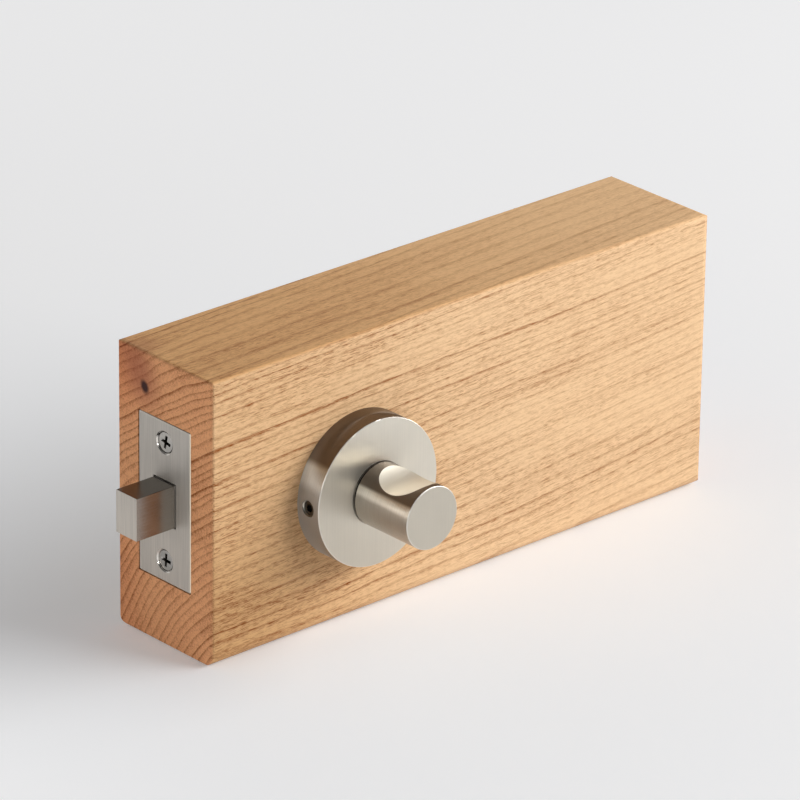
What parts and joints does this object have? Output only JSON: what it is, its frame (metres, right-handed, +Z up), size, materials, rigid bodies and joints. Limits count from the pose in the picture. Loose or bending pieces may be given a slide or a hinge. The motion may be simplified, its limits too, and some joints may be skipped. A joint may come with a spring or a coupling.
{
  "type": "thumb turn with tubular deadbolt on a timber sample block",
  "caption": "Round thumb turn with a scooped knob, release rose and tubular deadbolt, fitted to a timber block as a sample.",
  "frame": {"origin": "middle of the timber block's underside", "axes": "+X along the block away from the bolt, the thumb turn faces -Y, +Z up"},
  "size_m": [0.2306, 0.0942, 0.098],
  "materials": {
    "timber": "light straight-grained hardwood, sanded and clear oiled",
    "satin_nickel": "satin, fine brush lines, warm grey",
    "satin_steel": "satin, fine lines along the length",
    "bright_steel": "satin, with a bright rim",
    "zinc_steel": "bright zinc plated",
    "black_steel": "black oxide",
    "spring_steel": "dark polished spring steel",
    "cast_alloy": "matt die-cast zinc alloy",
    "moulded_nylon": "matt black nylon"
  },
  "bodies": {
    "root": {"sample_block": "timber", "inner_rose": "satin_nickel", "outer_rose": "satin_nickel", "forend": "satin_steel", "forend_screw_upper": "bright_steel", "forend_screw_lower": "bright_steel", "forend_back": "zinc_steel", "latch_case": "zinc_steel", "through_bolt_upper": "zinc_steel", "through_bolt_lower": "zinc_steel", "case_pins": "zinc_steel", "inner_rose_grub": "black_steel", "outer_rose_grub": "black_steel", "detent_spring": "spring_steel", "inner_base_plate": "cast_alloy", "outer_base_plate": "cast_alloy", "case_end_cap": "moulded_nylon", "bolt_guide": "moulded_nylon", "hub_bush_inner": "moulded_nylon", "hub_bush_outer": "moulded_nylon", "inner_bush": "moulded_nylon", "outer_bush": "moulded_nylon"},
    "turn": {"knob": "satin_nickel", "spindle": "zinc_steel", "spindle_pin": "black_steel", "inner_circlip": "black_steel", "outer_circlip": "black_steel", "inner_spring_washer": "spring_steel", "outer_spring_washer": "spring_steel", "release_button": "satin_nickel", "follower": "cast_alloy", "crank_pin": "zinc_steel"},
    "bolt": {"bolt": "satin_steel", "bolt_tail": "zinc_steel", "tail_rivets": "zinc_steel"}
  },
  "joints": [
    {"name": "turn_spin", "type": "hinge", "parent": "root", "child": "turn", "pos_m": [-0.0475, 0, 0.0469], "axis": [0, 1, 0], "range_deg": [0, 90], "deforming": ["detent_spring"]},
    {"name": "bolt_slide", "type": "slide", "parent": "root", "child": "bolt", "axis": [1, 0, 0], "range_m": [0, 0.0152]}
  ],
  "couplings": [
    {"joint": "bolt_slide", "follows": "turn_spin", "m_per_rad": 0.0096766}
  ]
}
